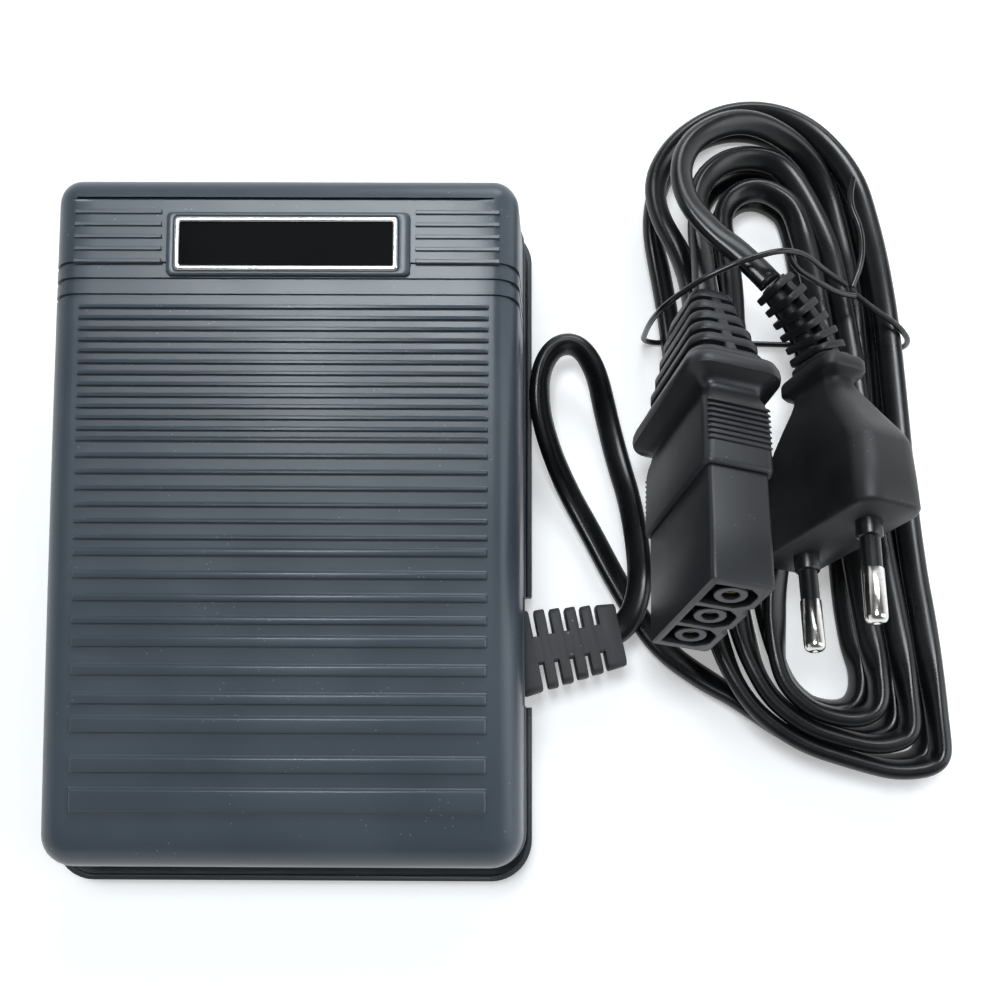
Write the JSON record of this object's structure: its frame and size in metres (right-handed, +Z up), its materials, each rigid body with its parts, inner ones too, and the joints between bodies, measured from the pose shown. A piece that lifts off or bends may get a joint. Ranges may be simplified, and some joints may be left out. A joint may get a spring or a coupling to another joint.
{
  "type": "foot speed control with cord set",
  "caption": "Ribbed treadle over a base tray with a sprung hinge and geared potentiometer; flat machine connector and two-pin plug on cords wound in a tied hank.",
  "frame": {"origin": "on the floor under the middle of the base tray", "axes": "+Y toward the raised end with the name plate, +X toward the side where the cord leaves, +Z up"},
  "size_m": [0.1762, 0.1647, 0.0559],
  "materials": {
    "cover_plastic": "satin",
    "base_plastic": "satin",
    "foot_rubber": "matte",
    "border_metal": "polished",
    "plate_black": "gloss",
    "pin_steel": "satin",
    "spring_steel": "satin",
    "board_green": "gloss",
    "screw_zinc": "satin",
    "epoxy_black": "matte",
    "sink_aluminium": "satin",
    "ferrite": "matte",
    "film_yellow": "gloss",
    "resistor_tan": "gloss",
    "trimmer_blue": "gloss",
    "block_green": "matte",
    "clamp_plastic": "matte",
    "wire_blue": "gloss",
    "pot_metal": "satin",
    "nut_brass": "satin",
    "gear_nylon": "matte",
    "grommet_pvc": "matte",
    "cord_pvc": "satin",
    "connector_pvc": "satin",
    "contact_brass": "satin",
    "plug_pvc": "satin",
    "pin_nickel": "polished",
    "sleeve_plastic": "matte",
    "tie_plastic": "gloss"
  },
  "bodies": {
    "base": {"base_tray": "base_plastic", "rubber_feet": "foot_rubber", "hinge_pin": "pin_steel", "pin_washers": "pin_steel", "bump_stops": "foot_rubber", "return_spring": "spring_steel", "circuit_board": "board_green", "board_screws": "screw_zinc", "triac": "epoxy_black", "heat_sink": "sink_aluminium", "heat_sink_screw": "screw_zinc", "choke_coil": "ferrite", "film_capacitor": "film_yellow", "resistors": "resistor_tan", "speed_trimmer": "trimmer_blue", "terminal_block": "block_green", "terminal_screws": "screw_zinc", "cord_clamp": "clamp_plastic", "clamp_screws": "screw_zinc", "inner_cord": "cord_pvc", "inner_leads": "wire_blue", "potentiometer": "pot_metal", "potentiometer_nut": "nut_brass", "potentiometer_bracket": "pot_metal", "bracket_screws": "screw_zinc", "pedal_strain_relief": "grommet_pvc", "pedal_cord": "cord_pvc", "pedal_cord_hank": "cord_pvc", "pedal_cord_tail": "cord_pvc", "mains_cord_tail": "cord_pvc", "mains_cord_hank": "cord_pvc", "mains_cord": "cord_pvc", "connector_body": "connector_pvc", "connector_hood": "connector_pvc", "connector_strain_relief": "connector_pvc", "socket_sleeves": "contact_brass", "plug_body": "plug_pvc", "plug_pins": "pin_nickel", "pin_sleeves": "sleeve_plastic", "plug_strain_relief": "plug_pvc", "wire_tie": "tie_plastic"},
    "treadle": {"pedal_cover": "cover_plastic", "nameplate_border": "border_metal", "nameplate": "plate_black"},
    "wiper": {"wiper_shaft": "pin_steel", "pinion": "gear_nylon"}
  },
  "joints": [
    {"name": "treadle_tilt", "type": "hinge", "parent": "base", "child": "treadle", "pos_m": [0, -0.054, 0.011], "axis": [1, 0, 0], "range_deg": [-6, 0], "stiffness_Nm_per_rad": 3, "springref_deg": 6.88, "deforming": ["return_spring"]},
    {"name": "wiper_turn", "type": "hinge", "parent": "base", "child": "wiper", "pos_m": [0.0125, 0.04127, 0.019], "axis": [1, 0, 0], "range_deg": [0, 97]}
  ],
  "couplings": [
    {"joint": "wiper_turn", "follows": "treadle_tilt", "ratio": -16.071}
  ]
}
